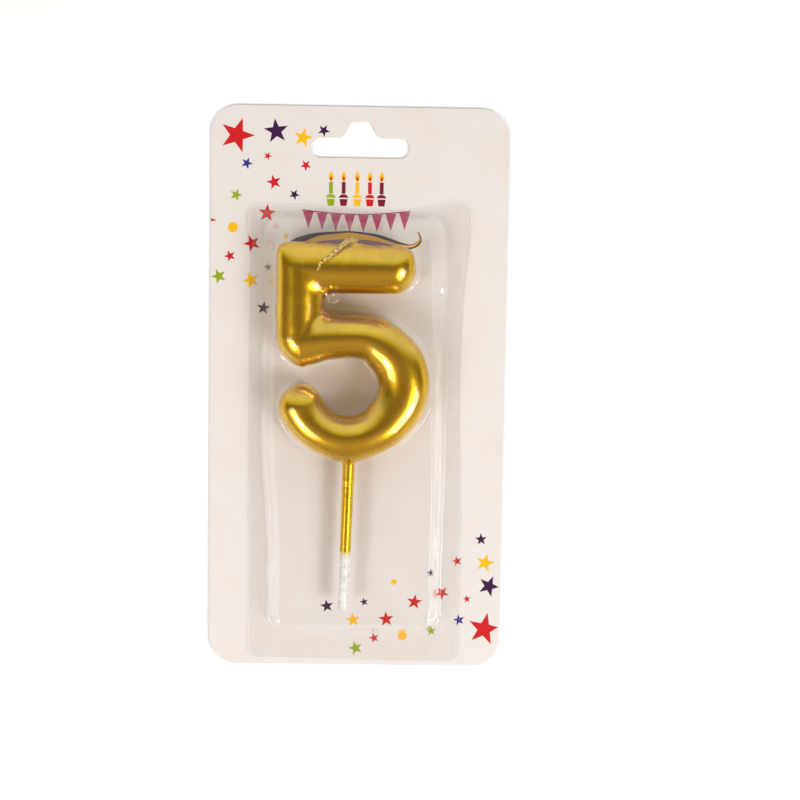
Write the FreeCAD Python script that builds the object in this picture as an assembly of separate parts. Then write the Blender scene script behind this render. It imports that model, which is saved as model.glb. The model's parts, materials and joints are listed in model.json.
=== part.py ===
"""Numeral-five birthday candle, laid in its clear blister on a printed hanging card.

Frame: the card lies on its back. +X runs across the card, +Y up the card towards the hang hole, +Z out
through the blister. The origin is the middle of the card's back face. Millimetres throughout.

The candle is laid out first, from the corner where the numeral's bar meets its stem. The blister follows the
candle with named gaps, and the card follows the blister with named margins.
"""

import FreeCAD, Part
import math
import os

V = FreeCAD.Vector
UP = V(0, 0, 1)

# ---------------------------------------------------------------- driving sizes
# Numeral: one round wax stroke that draws a five.
STROKE_R = 7.7  # outside radius of the stroke, gold coat included
BAR_L = 29.3  # corner to the centre of the bar's round end
STEM_L = 23.1  # corner down to the foot of the stem
FOOT_RUN = 17.9  # stem across to where the bowl starts to turn
FOOT_RISE_DEG = 3.5  # slope of that run
BOWL_ARCS = ((15.2, 116.5), (19.0, 51.6), (16.7, 80.8))  # radius and turn of each tangent arc, in degrees
CORNER_R = 3.4  # plan radius of the squarer corner of bar and stem
BACK_TRIM = 1.0  # the cast back is flat, this much short of the full round
COAT_T = 0.12  # metallic lacquer skin on the wax
SEAT_GAP = 0.2  # numeral's flat back above the card

# Pick: the plastic stick that goes into the cake.
PICK_R = 1.82
PICK_FROM_STEM = 16.4  # where it leaves the bowl, measured across from the stem
PICK_EXPOSED_L = 49.0  # bowl to tip
PICK_EMBED_L = 13.0  # length cast into the wax
PICK_LEAN_DEG = 1.6  # its tip leans towards the stem's side
PICK_BARE_L = 19.5  # uncoated food-safe tip
PICK_TIP_STEP = 0.2  # the bare tip's radius is this much under the rest
PICK_TIP_CHAMFER = 0.4
PICK_COAT_T = 0.08
COLLAR_R = 2.7  # wax drawn down round the pick
COLLAR_L = 1.3

# Wick: a core cast in the bar, and a tail folded over the front of the bar.
WICK_R = 0.65
WICK_FROM_STEM = 16.9
WICK_EMBED_L = 13.5
WICK_STUB = 0.05  # the core stands this far out of the wax
# Tail route round the bar: along the bar from the core, clear of the bar's surface, degrees from the top.
WICK_ROUTE = ((0.0, 0.9, 0.0), (-0.5, 1.6, 10.0), (-2.6, 1.35, 31.0), (-6.2, 1.35, 59.0), (-10.1, 0.95, 88.0))

# Blister: a flange, a shallow tray with sloped walls, and a dome that follows the numeral.
FILM_T = 0.3
DOME_GAP = 1.45  # film clear of the numeral, all round
DOME_SHIFT = V(0.3, 0.9, 0.55)  # the candle hangs low in its dome
ROOF_GAP_OVER_PICK = 1.4
ROOF_GAP_LEFT = 0.9
ROOF_GAP_RIGHT = 1.8
ROOF_GAP_TOP = 3.8
ROOF_GAP_BOTTOM = 4.9
WALL_SETBACK = 3.7  # how far the sloped walls lean in between mouth and roof
WALL_SETBACK_TOP = 5.0
MOUTH_CORNER_R = 5.5
ROOF_CORNER_R = 4.5
FLANGE_LEFT = 4.4
FLANGE_RIGHT = 5.9
FLANGE_TOP = 2.7
FLANGE_BOTTOM = 9.3
FLANGE_CORNER_R = 3.5
SEAL_T = 0.05  # heat-seal lacquer between flange and card
SEAL_EDGE = 0.8  # it stops this far short of the flange's edges

# Card: the blister plus margins, with a hang hole in the header.
CARD_T = 0.5
CARD_CORNER_R = 9.0
MARGIN_LEFT = 12.6
MARGIN_RIGHT = 13.8
MARGIN_BOTTOM = 2.0
HEADER_H = 32.7
HOLE_FROM_TOP = 13.2
SLOT_L = 32.0
SLOT_W = 6.4
BUMP_RISE = 8.4  # hang hole's bump above the slot's middle
BUMP_BASE_W = 11.5
BUMP_TOP_W = 6.6
BUMP_BASE_FILLET = 2.4
BUMP_TOP_FILLET = 2.2

# ---------------------------------------------------------------- heights
SEAL_Z = CARD_T
FLANGE_Z = SEAL_Z + SEAL_T
AXIS_Z = CARD_T + SEAT_GAP + STROKE_R - BACK_TRIM
ROOF_Z = AXIS_Z + PICK_R + PICK_COAT_T + ROOF_GAP_OVER_PICK + FILM_T


def heading_vector(heading_deg):
    """Unit vector in the card's plane, counted from +X."""
    angle = math.radians(heading_deg)
    return V(math.cos(angle), math.sin(angle), 0)


def bowl_segments(foot):
    """Start, heading, centre, radius and turn of each arc of the bowl, and the tail's end."""
    heading = FOOT_RISE_DEG
    point = foot + V(FOOT_RUN, FOOT_RUN * math.tan(math.radians(heading)), 0)
    segments = []
    for radius, turn in BOWL_ARCS:
        centre = point - heading_vector(heading + 90) * radius
        segments.append((point, heading, centre, radius, turn))
        heading -= turn
        point = centre + heading_vector(heading + 90) * radius
    return segments, point


# ---------------------------------------------------------------- plan layout
# First with the numeral's corner at (0, 0), to find the card; then moved so that the card is centred.
_segments, _tail = bowl_segments(V(0, -STEM_L, 0))
_last_centre, _last_radius = _segments[-1][2], _segments[-1][3]
_first_centre, _first_radius = _segments[0][2], _segments[0][3]
BOWL_RIGHT = _first_centre.x + _first_radius + STROKE_R
BOWL_BOTTOM = _last_centre.y - _last_radius - STROKE_R
PICK_TIP_Y = BOWL_BOTTOM - PICK_EXPOSED_L * math.cos(math.radians(PICK_LEAN_DEG))

roof = {
    "left": -STROKE_R - ROOF_GAP_LEFT,
    "right": BOWL_RIGHT + ROOF_GAP_RIGHT,
    "bottom": PICK_TIP_Y - ROOF_GAP_BOTTOM,
    "top": STROKE_R + ROOF_GAP_TOP,
}


def grown(box, left, right, bottom, top):
    """A plan rectangle moved out by a margin on each side."""
    return {
        "left": box["left"] - left,
        "right": box["right"] + right,
        "bottom": box["bottom"] - bottom,
        "top": box["top"] + top,
    }


mouth = grown(roof, WALL_SETBACK, WALL_SETBACK, WALL_SETBACK, WALL_SETBACK_TOP)
flange = grown(mouth, FLANGE_LEFT, FLANGE_RIGHT, FLANGE_BOTTOM, FLANGE_TOP)
card = grown(flange, MARGIN_LEFT, MARGIN_RIGHT, MARGIN_BOTTOM, HEADER_H)

CORNER = V(-(card["left"] + card["right"]) / 2, -(card["bottom"] + card["top"]) / 2, AXIS_Z)


def rounded_outline(box, radius, z, inset=0.0):
    """A rectangle with four arcs at its corners, moved with the layout."""
    x0 = box["left"] + CORNER.x + inset
    x1 = box["right"] + CORNER.x - inset
    y0 = box["bottom"] + CORNER.y + inset
    y1 = box["top"] + CORNER.y - inset
    edges = []
    corners = ((x1, y1, 0), (x0, y1, 90), (x0, y0, 180), (x1, y0, 270))
    arcs = []
    for x, y, start in corners:
        toward = heading_vector(start + 45) * (radius * math.sqrt(2))
        centre = V(x, y, z) - toward
        points = [centre + heading_vector(start + step) * radius for step in (0, 45, 90)]
        arcs.append(points)
    for index, points in enumerate(arcs):
        edges.append(Part.Arc(*points).toShape())
        edges.append(Part.LineSegment(points[2], arcs[(index + 1) % 4][0]).toShape())
    return Part.Wire(edges)


def plate(box, radius, z, thickness, inset=0.0):
    return Part.Face(rounded_outline(box, radius, z, inset)).extrude(UP * thickness)


def disc(centre, normal, radius):
    return Part.Face(Part.Wire(Part.makeCircle(radius, centre, normal)))


def rod(start, end, radius):
    return disc(start, end - start, radius).extrude(end - start)


def fused(first, *others):
    return first.multiFuse(list(others)).removeSplitter()


# ---------------------------------------------------------------- numeral
def square_corner(corner, radius):
    """The outer quarter where two equal round strokes meet square, its plan corner rounded."""
    reach = radius * 1.2
    along_bar = rod(corner, corner - V(reach, 0, 0), radius)
    along_stem = rod(corner, corner + V(0, reach, 0), radius)
    low = corner - UP * reach
    plan_r = min(CORNER_R, radius * 0.9)
    arc_centre = low + V(plan_r - radius, radius - plan_r, 0)
    arc = Part.Arc(*[arc_centre + heading_vector(step) * plan_r for step in (90, 135, 180)]).toShape()
    points = [arc_centre + V(-plan_r, 0, 0), low + V(-radius, 0, 0), low, low + V(0, radius, 0)]
    points.append(arc_centre + V(0, plan_r, 0))
    sides = [Part.LineSegment(a, b).toShape() for a, b in zip(points, points[1:])]
    plan = Part.Face(Part.Wire(Part.__sortEdges__([arc] + sides)))
    return along_bar.common(along_stem).common(plan.extrude(UP * 2 * reach))


def numeral(radius, corner=CORNER):
    """The five as a round stroke of this radius, its bar and stem meeting at corner."""
    bar_end = corner + V(BAR_L, 0, 0)
    foot = corner - V(0, STEM_L, 0)
    segments, tail = bowl_segments(foot)
    pieces = [
        rod(corner, bar_end, radius),
        Part.makeSphere(radius, bar_end),
        square_corner(corner, radius),
        rod(corner, foot, radius),
        Part.makeSphere(radius, foot),
        rod(foot, segments[0][0], radius),
    ]
    for start, heading, centre, _, turn in segments:
        pieces.append(disc(start, heading_vector(heading), radius).revolve(centre, UP, -turn))
    pieces.append(Part.makeSphere(radius, tail))
    return fused(pieces[0], *pieces[1:])


def above(shape, z):
    """The part of a shape above a level."""
    box = shape.BoundBox
    room = STROKE_R
    size = V(box.XLength + 2 * room, box.YLength + 2 * room, box.ZMax - z + room)
    block = Part.makeBox(size.x, size.y, size.z, V(box.XMin - room, box.YMin - room, z))
    return shape.common(block)


def single(shape):
    """The one solid that a boolean left."""
    solids = shape.Solids
    if len(solids) != 1:
        raise ValueError("expected one solid, found %d" % len(solids))
    return solids[0]


# ---------------------------------------------------------------- candle
pick_down = heading_vector(-90 - PICK_LEAN_DEG)
pick_entry = CORNER + V(PICK_FROM_STEM, BOWL_BOTTOM, 0)
pick_tip = pick_entry + pick_down * PICK_EXPOSED_L
gold_end = pick_tip - pick_down * PICK_BARE_L
pick_root = pick_entry - pick_down * PICK_EMBED_L


def collar(extra):
    """Wax drawn down the pick in a short cone."""
    top = pick_entry - pick_down * COLLAR_L
    return Part.makeCone(COLLAR_R + COLLAR_L + extra, PICK_R + extra, 2 * COLLAR_L, top, pick_down)


def candle_form(coat):
    """Outline of the wax body, with the lacquer's thickness taken off."""
    body = above(numeral(STROKE_R - coat), CARD_T + SEAT_GAP + coat)
    return fused(body, collar(COAT_T - coat + PICK_COAT_T))


def make_pick():
    body = fused(rod(pick_root, gold_end, PICK_R), rod(gold_end, pick_tip, PICK_R - PICK_TIP_STEP))
    tip_edge = [edge for edge in body.Edges if (edge.BoundBox.Center - pick_tip).Length < PICK_R / 2]
    return body.makeChamfer(PICK_TIP_CHAMFER, tip_edge[:1])


wick_base = CORNER + V(WICK_FROM_STEM, STROKE_R, 0)
wick_core = rod(wick_base - V(0, WICK_EMBED_L, 0), wick_base + V(0, WICK_STUB, 0), WICK_R)
cake_pick = make_pick()
pick_space = rod(pick_root, gold_end, PICK_R)

outer_form = candle_form(0)
wax_form = candle_form(COAT_T)
wax_numeral = single(wax_form.cut(pick_space).cut(wick_core))
coated_pick = rod(pick_root, gold_end, PICK_R + PICK_COAT_T)
numeral_gold_coat = single(outer_form.cut(wax_form).cut(coated_pick).cut(wick_core))
pick_gold_coat = single(coated_pick.cut(outer_form).cut(pick_space))


def route_point(along, gap, turn_deg):
    """A point beside the bar: along it from the wick's base, off its surface, turned from its top edge."""
    reach = STROKE_R + gap
    angle = math.radians(turn_deg)
    centre = CORNER + V(WICK_FROM_STEM, 0, 0)
    return centre + V(along, reach * math.cos(angle), reach * math.sin(angle))


def bent_rod(points, radius):
    """A round rod along straight runs joined by tangent arcs as large as the runs allow."""
    edges = []
    here = points[0]
    for before, point, after in zip(points, points[1:], points[2:]):
        arriving = (point - before).normalize()
        leaving = (after - point).normalize()
        turn = arriving.getAngle(leaving)
        shorter = min((point - before).Length, (after - point).Length)
        arc_r = 0.45 * shorter / math.tan(turn / 2)
        reach = arc_r * math.tan(turn / 2)
        inward = (leaving - arriving).normalize()
        middle = point + inward * (arc_r / math.cos(turn / 2) - arc_r)
        start = point - arriving * reach
        end = point + leaving * reach
        edges.append(Part.LineSegment(here, start).toShape())
        edges.append(Part.Arc(start, middle, end).toShape())
        print("wick tail bend radius %.2f mm" % arc_r)
        here = end
    edges.append(Part.LineSegment(here, points[-1]).toShape())
    path = Part.Wire(edges)
    profile = Part.Wire(Part.makeCircle(radius, points[0], points[1] - points[0]))
    return path.makePipeShell([profile], True, True)


tail_points = [route_point(*stop) for stop in WICK_ROUTE]
wick_tail = single(fused(bent_rod(tail_points, WICK_R), Part.makeSphere(WICK_R, tail_points[0])))


# ---------------------------------------------------------------- blister
def tray(inset):
    """Sloped-wall tray from the card up to its roof, shrunk by the film for its inside."""
    base = rounded_outline(mouth, MOUTH_CORNER_R - inset, FLANGE_Z, inset)
    top = rounded_outline(roof, ROOF_CORNER_R - inset, ROOF_Z - inset, inset)
    return Part.makeLoft([base, top], True, True)


def dome(extra):
    """Upper half of the numeral, grown by the dome's gap."""
    centre = CORNER + DOME_SHIFT
    return above(numeral(STROKE_R + DOME_GAP + extra, centre), centre.z - STROKE_R / 4)


blister_outer = fused(tray(0), dome(FILM_T), plate(flange, FLANGE_CORNER_R, FLANGE_Z, FILM_T))
blister_inner = fused(tray(FILM_T), dome(0))
blister_shell = single(blister_outer.cut(blister_inner))

# ---------------------------------------------------------------- card
heat_seal_band = plate(flange, FLANGE_CORNER_R - SEAL_EDGE, SEAL_Z, SEAL_T, SEAL_EDGE)
heat_seal_band = single(heat_seal_band.cut(plate(mouth, MOUTH_CORNER_R, SEAL_Z, SEAL_T)))


def hang_hole():
    """Round-ended slot with a rounded bump over its middle, right through the card."""
    depth = UP * CARD_T
    middle = V(0, card["top"] + CORNER.y - HOLE_FROM_TOP, 0)
    half = V(SLOT_L / 2 - SLOT_W / 2, SLOT_W / 2, 0)
    slot = Part.makeBox(2 * half.x, SLOT_W, CARD_T, middle - half)
    ends = [rod(middle + V(side * half.x, 0, 0), middle + V(side * half.x, 0, CARD_T), SLOT_W / 2) for side in (-1, 1)]
    base_x, top_x = BUMP_BASE_W / 2, BUMP_TOP_W / 2
    outline = [V(-base_x, 0, 0), V(base_x, 0, 0), V(base_x, half.y, 0), V(top_x, BUMP_RISE, 0)]
    outline += [V(-top_x, BUMP_RISE, 0), V(-base_x, half.y, 0), V(-base_x, 0, 0)]
    bump = Part.Face(Part.makePolygon([middle + point for point in outline])).extrude(depth)
    hole = fused(slot, bump, *ends)
    for level, radius in ((half.y, BUMP_BASE_FILLET), (BUMP_RISE, BUMP_TOP_FILLET)):
        edges = [
            edge
            for edge in hole.Edges
            if abs(edge.BoundBox.YMin - middle.y - level) < 0.01
            and edge.BoundBox.ZLength > CARD_T / 2
            and edge.BoundBox.YLength < 0.01
            and abs(edge.BoundBox.XMin) < BUMP_BASE_W
        ]
        hole = hole.makeFillet(radius, edges)
    return hole


backing_card = single(plate(card, CARD_CORNER_R, 0, CARD_T).cut(hang_hole()))

# ---------------------------------------------------------------- files
NODES = {
    "backing_card": backing_card,
    "heat_seal_band": heat_seal_band,
    "blister_shell": blister_shell,
    "wax_numeral": wax_numeral,
    "numeral_gold_coat": numeral_gold_coat,
    "cake_pick": cake_pick,
    "pick_gold_coat": pick_gold_coat,
    "wick_core": wick_core,
    "wick_tail": wick_tail,
}

os.makedirs("parts", exist_ok=True)
for name, shape in NODES.items():
    if not shape.isValid():
        raise ValueError("%s is not a valid solid" % name)
    shape.exportStep("parts/%s.step" % name)
    box = shape.optimalBoundingBox(False, False)
    low = (box.XMin, box.YMin, box.ZMin)
    high = (box.XMax, box.YMax, box.ZMax)
    print("%-18s %8.0f mm3  low %6.1f %6.1f %6.2f  high %6.1f %6.1f %6.2f" % ((name, shape.Volume) + low + high))
hinge = tail_points[0]
print("wick hinge %.2f %.2f %.2f" % (hinge.x, hinge.y, hinge.z))
print("flange left %.2f, top face %.2f" % (flange["left"] + CORNER.x, FLANGE_Z + FILM_T))
print("pick tip %.2f %.2f %.2f" % (pick_tip.x, pick_tip.y, pick_tip.z))
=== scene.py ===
"""Gold numeral-five birthday candle in its clear blister on a printed hanging card: the visual model.

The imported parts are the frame. The numeral, pick, wick, film and seal are rebuilt here in finer mesh at the
places the frame gives. Shapes are worked out in millimetres and turned to metres when a mesh is made.
"""

import json
import math

import bpy
import numpy as np
from bpy.props import FloatProperty, FloatVectorProperty, IntProperty, PointerProperty
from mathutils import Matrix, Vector


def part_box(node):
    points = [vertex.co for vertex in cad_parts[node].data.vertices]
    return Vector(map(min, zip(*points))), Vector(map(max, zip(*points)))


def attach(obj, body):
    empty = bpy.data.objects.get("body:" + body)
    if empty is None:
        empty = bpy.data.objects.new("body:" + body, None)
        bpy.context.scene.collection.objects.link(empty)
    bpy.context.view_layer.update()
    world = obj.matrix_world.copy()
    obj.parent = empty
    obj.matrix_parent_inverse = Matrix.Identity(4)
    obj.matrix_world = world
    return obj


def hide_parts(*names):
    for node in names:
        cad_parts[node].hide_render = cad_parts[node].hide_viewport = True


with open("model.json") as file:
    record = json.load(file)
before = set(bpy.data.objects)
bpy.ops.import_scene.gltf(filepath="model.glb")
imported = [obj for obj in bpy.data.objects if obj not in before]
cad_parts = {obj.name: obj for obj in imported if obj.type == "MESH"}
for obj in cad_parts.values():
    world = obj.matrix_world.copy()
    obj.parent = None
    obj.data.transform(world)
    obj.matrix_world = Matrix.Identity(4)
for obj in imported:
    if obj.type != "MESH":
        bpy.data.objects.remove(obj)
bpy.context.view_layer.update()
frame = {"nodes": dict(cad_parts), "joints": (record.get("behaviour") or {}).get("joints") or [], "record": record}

bl_info = {
    "name": "Numeral candle pack",
    "version": (1, 0, 0),
    "blender": (4, 5, 0),
    "location": "3D View > Sidebar > Candle pack",
    "description": "Builds a gold numeral-five candle in a clear blister on a printed hanging card",
    "category": "Object",
}

MM = 0.001  # metres in a millimetre


def box_mm(node):
    """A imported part's lowest and highest corners, in millimetres."""
    low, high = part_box(node)
    return np.array(low) / MM, np.array(high) / MM


def linear(code, alpha=1.0):
    """Linear colour from an sRGB hex value."""
    channels = [int(code[start : start + 2], 16) / 255 for start in (1, 3, 5)]
    return tuple(c / 12.92 if c <= 0.04045 else ((c + 0.055) / 1.055) ** 2.4 for c in channels) + (alpha,)


CARD_LOW, CARD_HIGH = box_mm("backing_card")
FILM_LOW, FILM_HIGH = box_mm("blister_shell")
GOLD_LOW, GOLD_HIGH = box_mm("numeral_gold_coat")
PICK_LOW, _ = box_mm("cake_pick")
SLEEVE_LOW, _ = box_mm("pick_gold_coat")
MOUNTS = {mount["name"]: mount for mount in frame["record"]["mounts"]}
JOINTS = {joint["name"]: joint for joint in frame["joints"]}
CARD_TOP = CARD_HIGH[2]

# ---------------------------------------------------------------- numeral's centre line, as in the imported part
STROKE_R = 7.7
STEM_L = 23.1
BAR_L = 29.3
FOOT_RUN = 17.9
FOOT_RISE = math.radians(3.5)
BOWL_ARCS = ((15.2, 116.5), (19.0, 51.6), (16.7, 80.8))
CORNER = np.array((GOLD_LOW[0] + STROKE_R, GOLD_HIGH[1] - STROKE_R, GOLD_HIGH[2] - STROKE_R))
FOOT = CORNER - np.array((0, STEM_L, 0))
BAR_END = CORNER + np.array((BAR_L, 0, 0))
RUN_END = FOOT + np.array((FOOT_RUN, FOOT_RUN * math.tan(FOOT_RISE), 0))
# The cast stroke isn't even: how far the bar reaches up at its two ends, how far down, and its blunt end.
BAR_UP = (8.4, 7.5)
BAR_DOWN = 8.0
BAR_STRAIGHT = 30.0
BAR_CAP = 7.2
BLUNT = 2.9  # power of the bar's blunt end; 2 would be round
# The foot's chamfer: its slope outward and down, how far out it lies, and how far down the foot reaches.
FOOT_SLOPE = (0.725, 0.689)
FOOT_CUT = 7.35
FOOT_DOWN = 8.95
# Reach of the run and bowl to their outer and inner side. Places count 0 at the foot, 1 at the run's end, and
# one more at the end of each arc.
REACH = np.array(
    (
        (0.0, 8.0, 8.86), (0.2, 8.0, 8.1), (0.55, 7.75, 6.8), (0.85, 7.3, 6.5),
        (1.1, 6.9, 7.0), (1.35, 7.5, 8.3), (1.65, 8.2, 8.5), (2.0, 8.0, 8.3),
        (2.4, 7.6, 7.9), (2.85, 7.3, 7.2), (3.19, 7.95, 7.05), (3.55, 7.2, 6.95),
        (4.0, 7.3, 7.3),
    )
)

PICK_DOWN = np.array(MOUNTS["cake_pick"]["axis"], float)
PICK_MIDDLE = np.array(MOUNTS["cake_pick"]["pos_m"], float) / MM
PICK_TIP = PICK_MIDDLE + PICK_DOWN * (PICK_MIDDLE[1] - PICK_LOW[1]) / -PICK_DOWN[1]
PICK_MOUTH = PICK_TIP - PICK_DOWN * 53  # inside the bowl, where the wax closes round the pick
SLEEVE_TOP = PICK_TIP - PICK_DOWN * 52
WICK_HINGE = np.array(JOINTS["wick_straighten"]["pos_m"], float) / MM


# ---------------------------------------------------------------- shaping helpers
def ease(low, high, value):
    """0 below low, 1 above high, and smooth between."""
    t = np.clip((value - low) / (high - low), 0, 1)
    return t * t * (3 - 2 * t)


def soft_min(a, b, reach):
    """The lower of two fields, rounded over where they are within reach of each other."""
    meet = np.maximum(reach - np.abs(a - b), 0)
    return np.minimum(a, b) - meet * meet / (4 * np.maximum(reach, 1e-6))


def soft_max(a, b, reach):
    """The higher of two fields, rounded over in the same way."""
    return -soft_min(-a, -b, reach)


def ripple(points, size, seed):
    """Smooth random unevenness from -1 to 1, its bumps about size apart."""
    draw = np.random.default_rng(seed)
    total = np.zeros(len(points))
    for _ in range(9):
        direction = draw.normal(size=points.shape[1])
        direction /= np.linalg.norm(direction)
        pitch = size * draw.uniform(1.2, 2.6)
        total += np.sin(points @ direction * (2 * math.pi / pitch) + draw.uniform(0, 2 * math.pi))
    return total / 4.5


def segment_distance(p, a, b):
    """Distance from points to a straight run from a to b."""
    run = b - a
    t = np.clip((p - a) @ run / (run @ run), 0, 1)
    return np.linalg.norm(p - a - t[:, None] * run, axis=1)


def heading(angle):
    """A unit step in plan."""
    return np.array((math.cos(angle), math.sin(angle)))


def eased_between(stops, place, column):
    """A value given at a few places, eased from each to the next."""
    i = np.clip(np.searchsorted(stops[:, 0], place, side="right") - 1, 0, len(stops) - 2)
    t = ease(0, 1, (place - stops[i, 0]) / (stops[i + 1, 0] - stops[i, 0]))
    return stops[i, column] * (1 - t) + stops[i + 1, column] * t


def stroke_distance(x, y):
    """Plan distance from the numeral's centre line, scaled so that the cast outline lies at STROKE_R.

    The bar has a squared corner and a blunt end, the foot is chamfered, and the bowl swells to its right.
    """
    dx, dy = x - CORNER[0], y - CORNER[1]
    along = np.clip(dx / BAR_L, 0, 1)
    lateral = np.where(dy > 0, dy / (BAR_UP[0] + (BAR_UP[1] - BAR_UP[0]) * along), -dy / BAR_DOWN)
    inset = np.minimum(np.hypot(dx / STROKE_R, lateral), 1.2)
    power = 2 + 2.4 * ease(0.2, 1.1, inset)
    squared = (np.abs(dx / STROKE_R) ** power + lateral**power + 1e-12) ** (1 / power)
    past = np.maximum(dx - BAR_STRAIGHT, 0) / BAR_CAP
    power = np.where(dy > 0, BLUNT, 2.0)
    bar = (past**power + lateral**power + 1e-12) ** (1 / power)
    bar = np.where(dx < 0, np.where(dy > 0, squared, np.hypot(dx, dy) / STROKE_R), bar)

    fx, fy = x - FOOT[0], y - FOOT[1]
    outward = np.maximum(-fx, 0)
    cut = (FOOT_SLOPE[0] * outward - FOOT_SLOPE[1] * fy).clip(0) / FOOT_CUT
    power = 3.5 + 2.5 * ease(0.2, 1.1, np.minimum(np.hypot(outward, fy) / STROKE_R, 1.2))
    chamfer = (outward / STROKE_R) ** power + np.abs(fy / FOOT_DOWN) ** power + cut**power
    chamfer = (chamfer + 1e-12) ** (1 / power)
    stem = np.where(fy < 0, np.hypot(fx, fy), np.where(dy > 0, np.hypot(dx, dy), np.abs(dx))) / STROKE_R
    stem = np.where((fx < 1.5) & (fy < 0), chamfer, np.where((dx < 0) & (dy > 0), squared, stem))
    inner = ease(0.1, 0.8, (dx - dy) / (STROKE_R * math.sqrt(2)))
    plan = soft_min(bar * STROKE_R, stem * STROKE_R, 3.6 * inner)

    t = math.cos(FOOT_RISE) * fx + math.sin(FOOT_RISE) * fy
    off = math.cos(FOOT_RISE) * fy - math.sin(FOOT_RISE) * fx
    length = FOOT_RUN / math.cos(FOOT_RISE)
    place = np.clip(t / length, 0, 1)
    curve = np.where(off > 0, off / eased_between(REACH, place, 1), -off / eased_between(REACH, place, 2))
    curve = np.where((t >= 0) & (t <= length), curve, 9.0)
    p = np.stack((x, y), 1)
    for index, (centre, radius, first, turn) in enumerate(bowl_arcs()):
        rel = p - centre
        sweep = (first - np.arctan2(rel[:, 1], rel[:, 0])) % (2 * math.pi)
        place = index + 1 + np.clip(sweep / turn, 0, 1)
        off = np.linalg.norm(rel, axis=1) - radius
        arc = np.where(off > 0, off / eased_between(REACH, place, 1), -off / eased_between(REACH, place, 2))
        curve = np.where(sweep <= turn, np.minimum(curve, arc), curve)
    curve = np.minimum(curve, np.linalg.norm(p - tail_centre(), axis=1) / REACH[-1, 1])
    inner = ease(0.1, 0.8, (fx + fy) / (STROKE_R * math.sqrt(2)))
    return soft_min(plan, curve * STROKE_R, 3.4 * inner)


def bowl_arcs():
    """Centre, radius, first angle and turn of each arc of the bowl."""
    arcs = []
    angle, start = FOOT_RISE, RUN_END[:2]
    for radius, turn in BOWL_ARCS:
        centre = start - heading(angle + math.pi / 2) * radius
        arcs.append((centre, radius, angle + math.pi / 2, math.radians(turn)))
        angle -= math.radians(turn)
        start = centre + heading(angle + math.pi / 2) * radius
    return arcs


def tail_centre():
    """Plan point where the bowl's stroke ends."""
    centre, radius, first, turn = bowl_arcs()[-1]
    return centre + heading(first - turn) * radius


def centre_line(step):
    """Points along the stem, run and bowl, for the rough form."""
    points = [CORNER[:2] + (FOOT[:2] - CORNER[:2]) * t for t in np.linspace(0, 1, 20)]
    points += [FOOT[:2] + (RUN_END[:2] - FOOT[:2]) * t for t in np.linspace(0, 1, 16)]
    for centre, radius, first, turn in bowl_arcs():
        count = int(turn * radius / step)
        points += [centre + heading(first - turn * i / count) * radius for i in range(1, count + 1)]
    return [np.array((p[0], p[1], CORNER[2])) for p in points]


# ---------------------------------------------------------------- mesh helpers
def swept(path, radii, sides):
    """Rings of points round a path, and the faces between them and over both ends."""
    path = np.asarray(path, float)
    tangents = np.gradient(path, axis=0)
    tangents /= np.linalg.norm(tangents, axis=1)[:, None]
    side = np.cross(tangents[0], (0.31, 0.17, 0.94))
    rings = []
    for centre, tangent, radius in zip(path, tangents, radii):
        side = side - tangent * (side @ tangent)
        side /= np.linalg.norm(side)
        other = np.cross(tangent, side)
        angles = np.arange(sides) * (2 * math.pi / sides)
        rings.append(centre + radius * (np.cos(angles)[:, None] * side + np.sin(angles)[:, None] * other))
    points = np.concatenate(rings)
    faces = []
    for ring in range(len(path) - 1):
        for i in range(sides):
            j = (i + 1) % sides
            a, b = ring * sides, (ring + 1) * sides
            faces.append((a + i, a + j, b + j, b + i))
    faces.append(tuple(range(sides))[::-1])
    faces.append(tuple(range((len(path) - 1) * sides, len(path) * sides)))
    return points, faces


def joined(parts):
    """Several point and face lists as one."""
    points, faces, offset = [], [], 0
    for part_points, part_faces in parts:
        points.append(np.asarray(part_points, float))
        faces += [tuple(i + offset for i in face) for face in part_faces]
        offset += len(part_points)
    return np.concatenate(points), faces


def slab(outline, low, high, plan=None):
    """A flat shape with a small thickness, from its outline in plan, counted anticlockwise.

    Its two sides are one face each, unless plan divides them.
    """
    count = len(outline)
    points = [(x, y, low) for x, y in outline] + [(x, y, high) for x, y in outline]
    plan = plan or [tuple(range(count))]
    faces = [face[::-1] for face in plan] + [tuple(i + count for i in face) for face in plan]
    faces += [(i, (i + 1) % count, count + (i + 1) % count, count + i) for i in range(count)]
    return points, faces


def make_mesh(name, points, faces):
    mesh = bpy.data.meshes.new(name)
    mesh.from_pydata((np.asarray(points) * MM).tolist(), [], faces)
    mesh.update()
    return mesh


def add_piece(name, points, faces, material, body, smooth=True):
    """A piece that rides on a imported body, with its finish."""
    mesh = make_mesh(name, points, faces)
    mesh.materials.append(material)
    mesh.polygons.foreach_set("use_smooth", [smooth] * len(mesh.polygons))
    piece = bpy.data.objects.new(name, mesh)
    bpy.context.scene.collection.objects.link(piece)
    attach(piece, body)
    return piece


def skinned(name, points, faces, cell):
    """One even skin round overlapping closed forms, as points in millimetres and faces."""
    rough = bpy.data.objects.new(name, make_mesh(name, points, faces))
    bpy.context.scene.collection.objects.link(rough)
    remesh = rough.modifiers.new("skin", "REMESH")
    remesh.mode = "VOXEL"
    remesh.voxel_size = cell * MM
    evaluated = rough.evaluated_get(bpy.context.evaluated_depsgraph_get())
    mesh = bpy.data.meshes.new_from_object(evaluated)
    bpy.data.objects.remove(rough)
    co = np.zeros(len(mesh.vertices) * 3)
    mesh.vertices.foreach_get("co", co)
    edges = np.zeros(len(mesh.edges) * 2, int)
    mesh.edges.foreach_get("vertices", edges)
    new_faces = [tuple(face.vertices) for face in mesh.polygons]
    return co.reshape(-1, 3) / MM, edges.reshape(-1, 2), new_faces


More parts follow.
